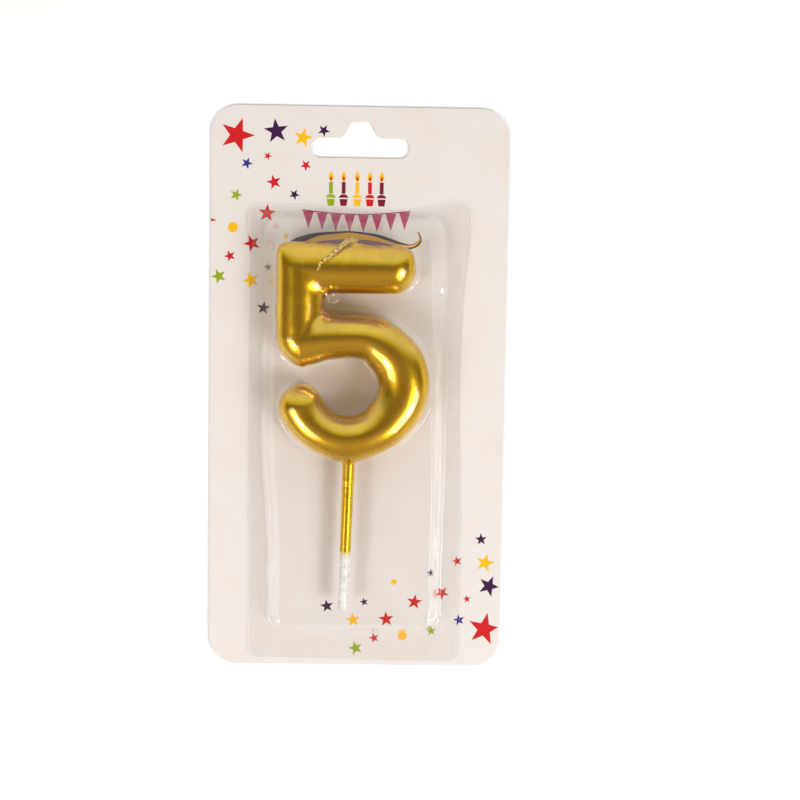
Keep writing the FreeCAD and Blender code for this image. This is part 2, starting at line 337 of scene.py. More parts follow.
def relaxed(points, edges, share):
    """Points moved part of the way to the mean of their neighbours."""
    total = np.zeros_like(points)
    count = np.bincount(edges.ravel(), minlength=len(points))
    for axis in range(3):
        total[:, axis] = np.bincount(edges[:, 0], points[edges[:, 1], axis], len(points))
        total[:, axis] += np.bincount(edges[:, 1], points[edges[:, 0], axis], len(points))
    return points + share * (total / count[:, None] - points)


def settled(points, edges, field, rounds):
    """Points relaxed and then moved onto the surface where the field is zero."""
    for round_index in range(rounds):
        if round_index < rounds - 2:
            points = relaxed(points, edges, 0.5)
        here = field(points)
        slope = np.stack([(field(points + step) - here) / 0.01 for step in np.eye(3) * 0.01], 1)
        steep = np.maximum((slope * slope).sum(1), 0.05)
        points = points - np.clip(here / steep, -1.2, 1.2)[:, None] * slope
    return points


# ---------------------------------------------------------------- materials
def add_node(tree, kind, inputs=None, stops=None, **settings):
    """Adds a node with its settings; an input is a value, an output that feeds it, or a node's first output."""
    node = tree.nodes.new("ShaderNode" + kind)
    for name, value in settings.items():
        setattr(node, name, value)
    for name, value in (inputs or {}).items():
        if isinstance(value, bpy.types.Node):
            value = value.outputs[0]
        if isinstance(value, bpy.types.NodeSocket):
            tree.links.new(value, node.inputs[name])
        else:
            node.inputs[name].default_value = value
    if stops:
        ramp = node.color_ramp
        while len(ramp.elements) < len(stops):
            ramp.elements.new(0.5)
        for element, (place, colour) in zip(ramp.elements, stops):
            element.position = place
            element.color = colour
    return node


def new_material(name):
    """A material, its empty tree and the place in the object that its patterns follow."""
    material = bpy.data.materials.new(name)
    material.use_nodes = True
    tree = material.node_tree
    tree.nodes.clear()
    return material, tree, add_node(tree, "TexCoord").outputs["Object"]


def per(size_mm):
    """Texture scale that repeats about every so many millimetres."""
    return 1 / (size_mm * MM)


def finished(material, surface):
    add_node(material.node_tree, "OutputMaterial", {"Surface": surface})
    return material


def gold_lacquer(colour):
    """Metallic lacquer dipped over wax: satin metal, a little uneven in tone and gloss."""
    material, tree, place = new_material("gold_metallic_lacquer_dipped")
    # Thicker and thinner lacquer: slow drifts of tone, 9 mm apart.
    drift = add_node(tree, "TexNoise", {"Vector": place, "Scale": per(9), "Detail": 3})
    thin = tuple(c * k for c, k in zip(colour[:3], (0.86, 0.84, 0.7))) + (1,)
    tone = add_node(tree, "ValToRGB", {"Fac": drift}, stops=((0.36, thin), (0.62, colour)))
    rough = add_node(
        tree, "MapRange", {"Value": drift, "From Min": 0.3, "From Max": 0.7, "To Min": 0.3, "To Max": 0.24}
    )
    # Orange peel, 1.1 mm apart, and fine flake grain; the flakes are far smaller and drawn at 0.18 mm to show.
    peel = add_node(tree, "TexNoise", {"Vector": place, "Scale": per(1.1), "Detail": 2})
    grain = add_node(tree, "TexNoise", {"Vector": place, "Scale": per(0.18), "Detail": 1})
    bumps = add_node(tree, "Bump", {"Height": peel, "Strength": 0.12, "Distance": 0.05 * MM})
    bumps = add_node(tree, "Bump", {"Height": grain, "Strength": 0.12, "Distance": 0.012 * MM, "Normal": bumps})
    metal = add_node(
        tree, "BsdfPrincipled", {"Base Color": tone, "Metallic": 1.0, "Roughness": rough, "Normal": bumps}
    )
    return finished(material, metal)


def paraffin_wax(colour):
    """Cast paraffin wax under the lacquer: milky and softly glossy."""
    material, tree, place = new_material("paraffin_wax_cast")
    cloud = add_node(tree, "TexNoise", {"Vector": place, "Scale": per(5), "Detail": 3})
    tone = add_node(tree, "ValToRGB", {"Fac": cloud}, stops=((0.35, colour), (0.7, linear("#F4EEDF"))))
    milky = {"Subsurface Weight": 0.3, "Subsurface Scale": 1.5 * MM}
    body = add_node(tree, "BsdfPrincipled", {"Base Color": tone, "Roughness": 0.4, "IOR": 1.44, **milky})
    return finished(material, body)


def moulded_polypropylene(colour, tint, gold_end):
    """White polypropylene, injection moulded: waxy sheen, flow marks, and lacquer mist near the dipped end."""
    material, tree, place = new_material("white_polypropylene_moulded")
    along = add_node(tree, "SeparateXYZ", {"Vector": place}).outputs["Y"]
    reach = {"Value": along, "From Min": (gold_end - 2.4) * MM, "From Max": gold_end * MM}
    mist = add_node(tree, "MapRange", reach, interpolation_type="SMOOTHSTEP")
    flow = add_node(tree, "TexNoise", {"Vector": place, "Scale": per(1.6), "Detail": 3})
    white = add_node(tree, "ValToRGB", {"Fac": flow}, stops=((0.3, colour), (0.7, linear("#FAFAF8"))))
    # A colour mix has its colours at sockets 6 and 7, and gives its result at socket 2.
    tone = add_node(tree, "Mix", {0: mist, 6: white, 7: tint}, data_type="RGBA").outputs[2]
    marks = add_node(tree, "Bump", {"Height": flow, "Strength": 0.1, "Distance": 0.03 * MM})
    waxy = {"Roughness": 0.36, "IOR": 1.49}
    body = add_node(tree, "BsdfPrincipled", {"Base Color": tone, "Normal": marks, **waxy})
    return finished(material, body)


def printed_board(ground, core):
    """Coated paperboard, offset printed and varnished: even warm ground, faint fibre, white cut edges."""
    material, tree, place = new_material("coated_board_printed_varnished")
    # Ink lay-down varies slowly, over 14 mm; board fibre shows at 0.5 mm.
    drift = add_node(tree, "TexNoise", {"Vector": place, "Scale": per(14), "Detail": 4})
    fibre = add_node(tree, "TexNoise", {"Vector": place, "Scale": per(0.5), "Detail": 4})
    warm = tuple(c * k for c, k in zip(ground[:3], (0.985, 0.97, 0.955))) + (1,)
    tone = add_node(tree, "ValToRGB", {"Fac": drift}, stops=((0.35, warm), (0.65, ground)))
    normal = add_node(tree, "NewGeometry").outputs["True Normal"]
    up = add_node(tree, "SeparateXYZ", {"Vector": normal}).outputs["Z"]
    front = add_node(tree, "Math", {0: up, 1: 0.5}, operation="GREATER_THAN")
    raw = add_node(tree, "ValToRGB", {"Fac": fibre}, stops=((0.3, core), (0.75, linear("#FBFAF7"))))
    relief = add_node(tree, "Bump", {"Height": fibre, "Strength": 0.16, "Distance": 0.02 * MM})
    gloss = {"Roughness": 0.42, "IOR": 1.5, "Coat Weight": 0.25, "Coat Roughness": 0.25}
    varnished = add_node(tree, "BsdfPrincipled", {"Base Color": tone, "Normal": relief, **gloss})
    cut = add_node(tree, "BsdfPrincipled", {"Base Color": raw, "Roughness": 0.85, "IOR": 1.5, "Normal": relief})
    mixed = add_node(tree, "MixShader", {0: front, 1: cut, 2: varnished})
    return finished(material, mixed)


def printing_ink(name, code):
    """Offset ink under varnish: solid colour with the slight mottle of ink on coated board."""
    material, tree, place = new_material("offset_ink_" + name)
    colour = linear(code)
    # Screen dots are 0.17 mm apart, too fine to show; the mottle is drawn at 0.4 mm.
    mottle = add_node(tree, "TexNoise", {"Vector": place, "Scale": per(0.4), "Detail": 2})
    light = tuple(min(1, c * 1.12 + 0.008) for c in colour[:3]) + (1,)
    tone = add_node(tree, "ValToRGB", {"Fac": mottle}, stops=((0.42, colour), (0.75, light)))
    body = add_node(
        tree, "BsdfPrincipled", {"Base Color": tone, "Roughness": 0.5, "IOR": 1.45, "Specular IOR Level": 0.25}
    )
    return finished(material, body)


def clear_film(tint):
    """Clear PET sheet, thermoformed: nearly invisible face on, glinting where it bends, finely rippled."""
    material, tree, place = new_material("clear_pet_thermoformed")
    # Draw ripples left by forming, 4 mm apart, and a fine haze of scuffs at 0.6 mm.
    draw = add_node(tree, "TexNoise", {"Vector": place, "Scale": per(4), "Detail": 2})
    scuff = add_node(tree, "TexNoise", {"Vector": place, "Scale": per(0.6), "Detail": 4})
    ripples = add_node(tree, "Bump", {"Height": draw, "Strength": 0.25, "Distance": 0.12 * MM})
    rough = add_node(
        tree, "MapRange", {"Value": scuff, "From Min": 0.4, "From Max": 0.75, "To Min": 0.03, "To Max": 0.09}
    )
    # Reflection that grows with the slant, the same from both faces, and kept a little under a PET sheet's.
    slant = add_node(tree, "LayerWeight", {"Blend": 0.5, "Normal": ripples}).outputs["Facing"]
    steep = add_node(tree, "Math", {0: slant, 1: 5.0}, operation="POWER")
    share = add_node(tree, "Math", {0: steep, 1: 0.97, 2: 0.03}, operation="MULTIPLY_ADD")
    clear = add_node(tree, "BsdfTransparent", {"Color": tint})
    gloss = add_node(tree, "BsdfAnisotropic", {"Color": (1, 1, 1, 1), "Roughness": rough, "Normal": ripples})
    mixed = add_node(tree, "MixShader", {0: share, 1: clear, 2: gloss})
    return finished(material, mixed)


def seal_lacquer(colour):
    """Heat-seal lacquer, pressed between film and board: a faint milky veil, patchy where it has let go."""
    material, tree, place = new_material("heat_seal_lacquer_pressed")
    patch = add_node(tree, "TexNoise", {"Vector": place, "Scale": per(7), "Detail": 5})
    veil = add_node(
        tree, "MapRange", {"Value": patch, "From Min": 0.35, "From Max": 0.7, "To Min": 0.01, "To Max": 0.05}
    )
    clear = add_node(tree, "BsdfTransparent", {"Color": (1, 1, 1, 1)})
    milky = add_node(tree, "BsdfPrincipled", {"Base Color": colour, "Roughness": 0.5, "IOR": 1.48})
    mixed = add_node(tree, "MixShader", {0: veil, 1: clear, 2: milky})
    return finished(material, mixed)


def lacquered_wick(colour, crease_shade):
    """Plaited cotton stiff with the same gold lacquer: rough, with painted shade dark in its creases and the
    lacquer's own colour on its knuckles.
    """
    material, tree, place = new_material("cotton_wick_lacquered")
    fibre = add_node(tree, "TexNoise", {"Vector": place, "Scale": per(0.6), "Detail": 3})
    # The colour follows the same relief as the bump: painted shade in its low places, the creases.
    tone = add_node(tree, "ValToRGB", {"Fac": fibre}, stops=((0.4, crease_shade), (0.5, colour)))
    tufts = add_node(tree, "Bump", {"Height": fibre, "Strength": 1.0, "Distance": 0.35 * MM})
    body = add_node(
        tree, "BsdfPrincipled", {"Base Color": tone, "Metallic": 0.5, "Roughness": 0.24, "Normal": tufts}
    )
    return finished(material, body)


def studio_paper(colour):
    """Plain white studio paper, matt and very even."""
    material, tree, place = new_material("studio_paper_matt")
    drift = add_node(tree, "TexNoise", {"Vector": place, "Scale": per(120), "Detail": 2})
    pale = tuple(c * 0.985 for c in colour[:3]) + (1,)
    tone = add_node(tree, "ValToRGB", {"Fac": drift}, stops=((0.3, pale), (0.7, colour)))
    body = add_node(tree, "BsdfPrincipled", {"Base Color": tone, "Roughness": 0.9, "IOR": 1.45})
    return finished(material, body)


# ---------------------------------------------------------------- sizes and colours a user would change
COLOUR = {"subtype": "COLOR", "size": 4, "min": 0, "max": 1}
LENGTH = {"unit": "LENGTH", "subtype": "DISTANCE"}


class CandleSettings(bpy.types.PropertyGroup):
    """Numeral, pick and wick."""

    gold: FloatVectorProperty(name="Gold", description="Metallic lacquer", default=linear("#E8BD2C"), **COLOUR)
    skin_cell: FloatProperty(
        name="Skin cell", description="Mesh size of the numeral", default=0.00032, **LENGTH
    )
    sleeve_root_radius: FloatProperty(
        name="Sleeve radius", description="Gilt pick at the bowl", default=0.002, **LENGTH
    )
    pick_white: FloatVectorProperty(
        name="Pick", description="Bare plastic", default=linear("#D5D1CA"), **COLOUR
    )
    wick_strand_radius: FloatProperty(
        name="Wick strand", description="Radius of each strand", default=0.0005, **LENGTH
    )


class FilmSettings(bpy.types.PropertyGroup):
    """Clear blister."""

    thickness: FloatProperty(name="Film", description="Thickness of the sheet", default=0.0003, **LENGTH)
    tint: FloatVectorProperty(
        name="Tint", description="What one face lets through", default=linear("#FEFEFE"), **COLOUR
    )
    columns: IntProperty(name="Columns", description="Mesh columns across the film", default=190, min=20)
    rows: IntProperty(name="Rows", description="Mesh rows up the film", default=400, min=20)


class CardSettings(bpy.types.PropertyGroup):
    """Printed card."""

    ground: FloatVectorProperty(
        name="Ground", description="Printed ground", default=linear("#E6DFDA"), **COLOUR
    )
    ink_thickness: FloatProperty(name="Ink", description="Height of the printing", default=0.00002, **LENGTH)


class StudioSettings(bpy.types.PropertyGroup):
    """Floor, light and camera."""

    paper: FloatVectorProperty(name="Paper", description="Studio floor", default=linear("#FCFCFC"), **COLOUR)
    lens: FloatProperty(name="Lens", description="Focal length in millimetres", default=68.9, min=20, max=200)


# ---------------------------------------------------------------- candle
def numeral_field(p):
    """Signed distance, near enough, from the numeral's gold surface."""
    x, y, z = p.T
    around = np.hypot(stroke_distance(x, y), z - CORNER[2]) - STROKE_R
    field = soft_max(around, GOLD_LOW[2] + 0.02 - z, 0.7)
    neck = segment_distance(p, PICK_MOUTH, PICK_MOUTH + PICK_DOWN * 4.6) - 1.85
    field = soft_min(field, neck, 1.5)
    mound = np.linalg.norm((p - WICK_HINGE - (1.1, -1.9, 1.3)) * (0.62, 1, 1), axis=1) - 1.5
    field = soft_min(field, mound, 1.2)
    return field - 0.05 * ripple(p, 7, 3) - 0.012 * ripple(p, 2.1, 4)


def build_numeral(settings, gold, wax):
    """The gold skin of the numeral, and the wax inside it."""
    line = centre_line(0.7)
    bar = [CORNER + (BAR_END - CORNER) * t for t in np.linspace(-0.02, 1, 40)]
    parts = [swept(bar, [STROKE_R] * len(bar), 48), swept(line, [STROKE_R] * len(line), 48)]
    for end in (CORNER, FOOT, BAR_END, line[-1]):
        ball = np.linspace(-math.pi / 2 + 0.05, math.pi / 2 - 0.05, 24)
        path = [end + np.array((math.sin(a) * STROKE_R, 0, 0)) for a in ball]
        parts.append(swept(path, [math.cos(a) * STROKE_R for a in ball], 48))
    parts.append(swept([PICK_MOUTH + PICK_DOWN * t for t in np.linspace(0, 5.6, 16)], [2.2] * 16, 32))
    rough = joined(parts)
    points, edges, faces = skinned("numeral_rough", *rough, settings.skin_cell / MM)
    points = settled(points, edges, numeral_field, 8)
    piece = add_piece("numeral_gold", points, faces, gold, "candle")
    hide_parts("numeral_gold_coat")
    # The wax lies just under the lacquer.
    points, edges, faces = skinned("wax_rough", *rough, 0.7)
    points = settled(points, edges, lambda p: numeral_field(p) + 0.16, 6)
    piece = add_piece("numeral_wax", points, faces, wax, "candle")
    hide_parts("wax_numeral")


def build_pick(settings, gold, plastic):
    """The bare end of the pick, and the gilt on the rest of it."""
    gold_end = SLEEVE_LOW[1]
    length = (PICK_TIP[1] - gold_end) / PICK_DOWN[1]
    # Distance from the tip and radius: the end is rounded over.
    bare = [(length + 3, 1.66), (length, 1.66), (length * 0.5, 1.64)]
    bare += [(1.2, 1.6), (0.5, 1.57), (0.18, 1.42), (0.0, 1.2)]
    parts = [swept([PICK_TIP - PICK_DOWN * t for t, _ in bare], [r for _, r in bare], 40)]
    # The mould's parting line, on both sides.
    for side in (-1, 1):
        ridge = [PICK_TIP - PICK_DOWN * t + np.array((side * 1.6, 0, 0)) for t in (length, length * 0.5, 1.4)]
        parts.append(swept(ridge, [0.09, 0.09, 0.05], 8))
    points, faces = joined(parts)
    piece = add_piece("pick_bare", points, faces, plastic, "candle")
    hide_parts("cake_pick")

    # The gilt runs thicker from the bowl down to a step, and its masked end is slightly ragged.
    step_at = 10.3
    total = float(np.linalg.norm(SLEEVE_TOP - (PICK_TIP - PICK_DOWN * length)))
    root_r = settings.sleeve_root_radius / MM
    stops = [(0.0, root_r), (step_at - 0.25, root_r - 0.06), (step_at, root_r - 0.15), (total * 0.6, 1.84)]
    stops += [(total - 1.5, 1.77), (total - 0.5, 1.8), (total - 0.12, 1.79), (total, 1.7)]
    draw = np.random.default_rng(11)
    runs = [np.linspace(a[0], b[0], 12, endpoint=False) for a, b in zip(stops, stops[1:])]
    along = np.concatenate(runs + [[total]])
    radii = np.interp(along, [s[0] for s in stops], [s[1] for s in stops])
    radii = radii + 0.012 * draw.normal(size=len(along)) * (along < total - 0.3)
    points, faces = swept([SLEEVE_TOP + PICK_DOWN * t for t in along], radii, 48)
    last = points[-48:] - PICK_DOWN * (0.16 * draw.random(48))[:, None]
    points = np.concatenate((points[:-48], last))
    piece = add_piece("pick_gilt", points, faces, gold, "candle")
    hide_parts("pick_gold_coat")


# The wick's tail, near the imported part's: along the bar, clear of its surface, degrees over from its top edge.
WICK_ROUTE = ((0.6, 0.6, 0.0), (-0.9, 1.7, 10.0), (-3.0, 1.3, 31.0), (-6.0, 1.25, 57.0), (-9.6, 1.15, 76.0))
WICK_ROUTE += ((-10.6, 1.0, 84.0), (-10.9, 0.75, 97.0))


def wick_line():
    """The tail's own line, read from a spline through its route."""
    data = bpy.data.curves.new("wick_route", "CURVE")
    data.dimensions = "3D"
    data.resolution_u = 24
    spline = data.splines.new("NURBS")
    spline.points.add(len(WICK_ROUTE) - 1)
    for point, (along, gap, turn) in zip(spline.points, WICK_ROUTE):
        reach, angle = STROKE_R + gap, math.radians(turn)
        up, out = CORNER[1] + reach * math.cos(angle), CORNER[2] + reach * math.sin(angle)
        point.co = tuple(c * MM for c in (WICK_HINGE[0] + along, up, out)) + (1,)
    spline.order_u = 3
    spline.use_endpoint_u = True
    route = bpy.data.objects.new("wick_route", data)
    mesh = bpy.data.meshes.new_from_object(route)
    line = np.array([v.co for v in mesh.vertices]) / MM
    bpy.data.objects.remove(route)
    return line


def build_wick(settings, cotton):
    """Three strands twisted along the tail's line, under dried lacquer."""
    line = wick_line()
    steps = np.concatenate(([0], np.cumsum(np.linalg.norm(np.diff(line, axis=0), axis=1))))
    count = 90
    along = np.linspace(0, steps[-1], count)
    path = np.stack([np.interp(along, steps, line[:, axis]) for axis in range(3)], 1)
    tangents = np.gradient(path, axis=0)
    tangents /= np.linalg.norm(tangents, axis=1)[:, None]
    out = path - np.stack((path[:, 0], np.full(count, CORNER[1]), np.full(count, CORNER[2])), 1)
    out /= np.linalg.norm(out, axis=1)[:, None]
    side = np.cross(tangents, out)
    strand_r = settings.wick_strand_radius / MM
    share = along / along[-1]
    taper = np.interp(share, (0, 0.1, 0.3, 0.78, 0.84, 0.9, 1), (1.7, 1.45, 1.15, 0.95, 0.75, 0.75, 0.3))
    parts = []
    for strand in range(3):
        turn = 2 * math.pi * (along / 2.9 + strand / 3)
        offset = 0.3 * taper + 0.05 * np.sin(along * 3.1 + strand)
        centre = path + (np.cos(turn) * offset)[:, None] * side + (np.sin(turn) * offset)[:, None] * out
        radii = strand_r * taper * (1 + 0.16 * np.sin(along * 5.3 + 2 * strand))
        parts.append(swept(centre, radii, 14))
    # Knuckles of dried lacquer and short tufts of stray fibre.
    draw = np.random.default_rng(5)
    for _ in range(46):
        start = draw.integers(3, count - 12)
        turn = draw.uniform(0, 2 * math.pi)
        way = math.cos(turn) * side[start] + math.sin(turn) * out[start]
        reach = np.linspace(0, 1, 5)[:, None]
        tuft = path[start] + way * (0.42 + 0.2 * reach) + tangents[start] * (reach * draw.uniform(-0.5, 0.6))
        parts.append(swept(tuft, draw.uniform(0.17, 0.3) * np.linspace(1, 0.7, 5), 9))
    points, faces = joined(parts)
    points, edges, faces = skinned("wick_rough", points, faces, 0.085)
    points = relaxed(points, edges, 0.5)
    points = points + 0.09 * (ripple(points, 0.5, 8) * ripple(points, 0.9, 9))[:, None] * (0.5, 0.6, 1.0)
    piece = add_piece("wick_twisted", points, faces, cotton, "wick")
    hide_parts("wick_tail")


# ---------------------------------------------------------------- blister
def film_edges(x, y):
    """The film's left, right, bottom and top edges, which wander a little and flare at the top."""
    up = (y - FILM_LOW[1]) / (FILM_HIGH[1] - FILM_LOW[1])
    left = FILM_LOW[0] + 0.25 * np.sin(up * 9) - 1.7 * ease(0.86, 1.0, up)
    right = FILM_HIGH[0] + 0.7 - 1.5 * np.exp(-(((up - 0.62) / 0.24) ** 2)) + 1.6 * ease(0.8, 0.99, up)
    across = (x - FILM_LOW[0]) / (FILM_HIGH[0] - FILM_LOW[0])
    bottom = FILM_LOW[1] + 0.3 * np.sin(across * 5 + 1)
    top = FILM_HIGH[1] + 0.9 - 1.4 * np.exp(-(((across - 0.62) / 0.2) ** 2)) + 1.6 * ease(0.8, 0.97, across)
    return left, right, bottom, top


FILM_T = 0.3
FILM_CORNER = 3.6
TRAY_RISE = 3.58  # roof above the middle of the stroke
TRAY_CORNER = 7.0
# The tray's mouth beyond the numeral's left and right, the pick's tip and the numeral's top.
TRAY_LEFT, TRAY_RIGHT, TRAY_BOTTOM, TRAY_TOP = 4.2, 5.3, 8.6, 8.9
DOME_GAP = 1.1
DOME_SHIFT = (0.3, 0.9, 0.55)  # the candle hangs low in its dome
DOME_TURN = 0.965  # share of the dome's reach where its round side turns into a steep wall


def tray_height(x, y):
    """Height of the shallow tray: a flange, sloped walls and a flat roof with softened edges."""
    flat, roof = FILM_LOW[2] + FILM_T, CORNER[2] + TRAY_RISE
    left = GOLD_LOW[0] - TRAY_LEFT + 0.4 * ease(50, 56, y) + 2.6 * ease(-10, -56, y)
    right = GOLD_HIGH[0] + TRAY_RIGHT - 0.6 * ease(-20, -60, y)
    bottom, top = PICK_LOW[1] - TRAY_BOTTOM, GOLD_HIGH[1] + TRAY_TOP
    corner = TRAY_CORNER
    half_x, half_y = (right - left) / 2, (top - bottom) / 2
    qx = np.abs(x - (left + right) / 2) - half_x + corner
    qy = np.abs(y - (top + bottom) / 2) - half_y + corner
    inside = corner - np.minimum(np.maximum(qx, qy), 0) - np.hypot(np.maximum(qx, 0), np.maximum(qy, 0))
    setback = 3.5 + 1.5 * ease(40, 50, y) + 0.9 * ease(15, 30, y) * (x > 0)
    setback = setback - 0.9 * ease(0, -50, y) * (np.abs(x) > np.abs(left) - 8)
    rise = soft_min(soft_max(inside / setback, np.zeros_like(x), 0.36), np.ones_like(x), 0.34)
    # A narrow bevel runs round the roof's edge.
    return soft_min(flat + (roof - flat) * rise, roof - 0.4 * np.maximum(setback + 0.9 - inside, 0), 0.12)


# Flats knocked into the film: centre x, y and height, half width, half length, and slope along x and y.
FLATS = (
    (-10.2, 31.4, 13.1, 1.7, 1.2, 0.31, 0.28),
    (-7.9, 29.9, 12.5, 1.6, 0.9, 0.31, 0.28),
    (26.9, 33.0, 7.4, 1.4, 2.7, -0.32, 0.25),
    (25.6, -33.0, 9.6, 0.5, 2.6, -0.34, 0.22),
    (25.0, -61.0, 10.0, 0.45, 3.4, -0.34, 0.22),
)


def film_height(x, y):
    """Height of the film's outer face: the tray, the dome that follows the numeral, and the crinkles."""
    reach = STROKE_R + DOME_GAP + FILM_T
    centre_z = CORNER[2] + DOME_SHIFT[2]
    plan = stroke_distance(x - DOME_SHIFT[0], y - DOME_SHIFT[1]) / reach
    round_top = np.sqrt(np.maximum(1 - np.minimum(plan, DOME_TURN) ** 2, 0))
    dome = centre_z + reach * (round_top - 3.68 * np.maximum(plan - DOME_TURN, 0))
    height = soft_max(tray_height(x, y), dome, 1.5)
    p = np.stack((x, y), 1)
    raised = ease(2, 9, height)
    height = height + 0.07 * ripple(p, 9, 21) * (0.4 + raised)
    # Buckled film along the right wall, a lighter buckle on the left one, and a pinch in the numeral's corner.
    wander = 0.8 * np.sin(y * 0.21) + 0.5 * np.sin(y * 0.47)
    right_wall = np.exp(-(((x - 26.3 - wander) / 1.0) ** 2)) * ease(-12, -34, y) * ease(-79, -72, y)
    height = height + 0.42 * right_wall * (0.6 + 0.7 * np.sin(y * 0.62 + 1.2 * np.sin(y * 0.23)))
    wander = 0.5 * np.sin(y * 0.17)
    left_wall = np.exp(-(((x + 28.0 + wander) / 0.9) ** 2)) * ease(10, -20, y) * ease(-79, -70, y)
    height = height + 0.2 * left_wall * np.sin(y * 0.4)
    pinch = np.exp(-(((x + 8.3) / 2.6) ** 2) - ((y - 27.9) / 1.9) ** 2)
    height = height + pinch * (0.3 + 0.22 * np.sin(x * 2.3 + y * 1.5))
    for cx, cy, cz, reach, tall, lean_x, lean_y in FLATS:
        flat = cz + lean_x * (x - cx) + lean_y * (y - cy)
        share = 1 - ease(0.75, 1.1, np.abs(x - cx) / reach + np.abs(y - cy) / tall)
        height = height + (flat - height) * share
    # The top edge has let go of the card between its seals, most at the corners.
    lift = ease(51, 59, y) * (0.25 + 0.8 * ease(20, 33, np.abs(x)) + 0.18 * np.sin(x * 0.3))
    return height + lift * ease(0, 7, x - FILM_LOW[0])


def corner_cut(inset):
    """How far the film's rounded corner cuts in, at a distance from the edge it ends at."""
    near = np.clip(FILM_CORNER - inset, 0, FILM_CORNER)
    return FILM_CORNER - np.sqrt(FILM_CORNER**2 - near**2)


def build_film(settings, clear):
    """The formed sheet, with its mesh spread evenly over walls and domes."""
    columns, rows = settings.columns, settings.rows
    u, v = np.meshgrid(np.linspace(0, 1, columns + 1), np.linspace(0, 1, rows + 1))
    u, v = u.ravel(), v.ravel()
    x = FILM_LOW[0] + (FILM_HIGH[0] - FILM_LOW[0]) * u
    y = FILM_LOW[1] + (FILM_HIGH[1] - FILM_LOW[1]) * v
    for _ in range(3):
        left, right, bottom, top = film_edges(x, y)
        y = bottom + (top - bottom) * v
        cut = corner_cut(np.minimum(y - bottom, top - y))
        start = np.maximum(left + cut, FILM_LOW[0] + 0.12)
        x = start + (right - cut - start) * u
    grid = np.stack((x, y, film_height(x, y)), 1).reshape(rows + 1, columns + 1, 3)
    for _ in range(40):
        mean = (grid[:-2, 1:-1] + grid[2:, 1:-1] + grid[1:-1, :-2] + grid[1:-1, 2:]) / 4
        grid[1:-1, 1:-1] += 0.8 * (mean - grid[1:-1, 1:-1])
        flat = grid.reshape(-1, 3)
        flat[:, 2] = film_height(flat[:, 0], flat[:, 1])
        grid = flat.reshape(rows + 1, columns + 1, 3)
    normals = np.cross(np.gradient(grid, axis=1), np.gradient(grid, axis=0)).reshape(-1, 3)
    normals /= np.linalg.norm(normals, axis=1)[:, None]
    outer = grid.reshape(-1, 3)
    inner = outer - normals * (settings.thickness / MM)
    inner[:, 2] = np.maximum(inner[:, 2], CARD_TOP + 0.05)
    size = len(outer)
    index = np.arange(size).reshape(rows + 1, columns + 1)
    quads = np.stack((index[:-1, :-1], index[:-1, 1:], index[1:, 1:], index[1:, :-1]), -1).reshape(-1, 4)
    rim = np.concatenate((index[0, :-1], index[:-1, -1], index[-1, :0:-1], index[:0:-1, 0]))
    faces = quads.tolist() + (quads[:, ::-1] + size).tolist()
    faces += [(a, a + size, b + size, b) for a, b in zip(rim.tolist(), np.roll(rim, -1).tolist())]
    piece = add_piece("blister_film", np.concatenate((outer, inner)), faces, clear, "blister")
    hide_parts("blister_shell")
    build_fixed_edge(clear)


def build_fixed_edge(clear):
    """The film's flared corner beyond the fold line, which stays sealed to the card when the film is peeled."""
    fold = FILM_LOW[0]
    up = np.linspace(FILM_LOW[1] + 4, FILM_HIGH[1], 240)
    left, _, _, top = film_edges(np.full_like(up, fold), up)
    left = left + corner_cut(top - up)
    flared = left < fold - 0.5
    outline = [(fold - 0.45, up[flared][0])] + [(fold - 0.45, up[flared][-1])]
    outline += list(zip(left[flared][::-1], up[flared][::-1]))
    points, faces = slab(outline, CARD_TOP + 0.05, FILM_LOW[2] + 0.15)
    add_piece("film_fixed_edge", points, faces, clear, "card", False)


# ---------------------------------------------------------------- card and its printing
INKS = {
    "red": "#C8171C",
    "violet": "#36103F",
    "yellow": "#F2B70F",
    "green": "#8FA315",
    "indigo": "#3A2A86",
    "magenta": "#B4125A",
    "maroon": "#7A1228",
    "mauve": "#93607F",
}
# Stars in each ink: place on the card, reach of the points, and degrees the first leans left of straight up.
STARS = {
    "red": (
        (-39.8, 81.9, 5.8, -18), (-29.9, 75.4, 1.4, -21), (-17.6, 72.6, 1.9, 34), (-27.8, 67.1, 2.5, 16),
        (-30.0, 57.1, 3.0, -5), (-34.8, 47.3, 2.9, 23), (-41.9, 43.1, 2.0, 22), (33.7, -56.3, 1.8, 14),
        (28.9, -67.1, 2.4, 36), (37.2, -69.0, 1.4, 9), (19.8, -70.2, 2.7, -7), (10.5, -76.1, 2.7, 5),
        (43.1, -79.1, 5.6, -11), (6.6, -82.5, 1.8, 16),
    ),
    "violet": (
        (-27.2, 83.4, 4.1, 7), (-11.9, 83.8, 2.1, -30), (-21.2, 63.2, 1.8, -27), (-29.5, 39.7, 1.4, 10),
        (-30.9, 26.4, 2.3, -8), (41.5, -48.9, 2.1, 4), (25.1, -60.4, 1.5, 6), (44.4, -64.6, 3.7, -22),
        (3.1, -70.4, 1.5, 14), (-9.2, -71.9, 2.3, 10),
    ),
    "yellow": (
        (-18.6, 81.4, 3.2, -12), (-35.0, 35.3, 2.8, 21), (43.0, -56.8, 3.2, -13), (-0.5, -76.5, 2.5, 8),
    ),
    "indigo": (
        (-36.6, 73.0, 2.0, -23), (34.7, -76.1, 2.0, 12),
    ),
    "green": (
        (-40.0, 62.8, 2.1, -19), (-45.5, 36.5, 2.6, 22), (25.5, -79.9, 1.8, 5), (0.5, -86.0, 2.5, 18),
    ),
}
DOTS = (
    ("yellow", -41.0, 52.4, 1.6),
    ("yellow", -23.8, 49.8, 0.7),
    ("yellow", 12.9, -63.6, 0.9),
    ("yellow", 15.9, -81.6, 1.5),
)
BUNTING_LEFT, BUNTING_L = -18.7, 35.1
OVERPRINT = 0.008  # a second ink stands this much higher
CANDLES = (("green", -9.4), ("maroon", -5.3), ("yellow", -0.9), ("red", 3.2), ("maroon", 7.0))


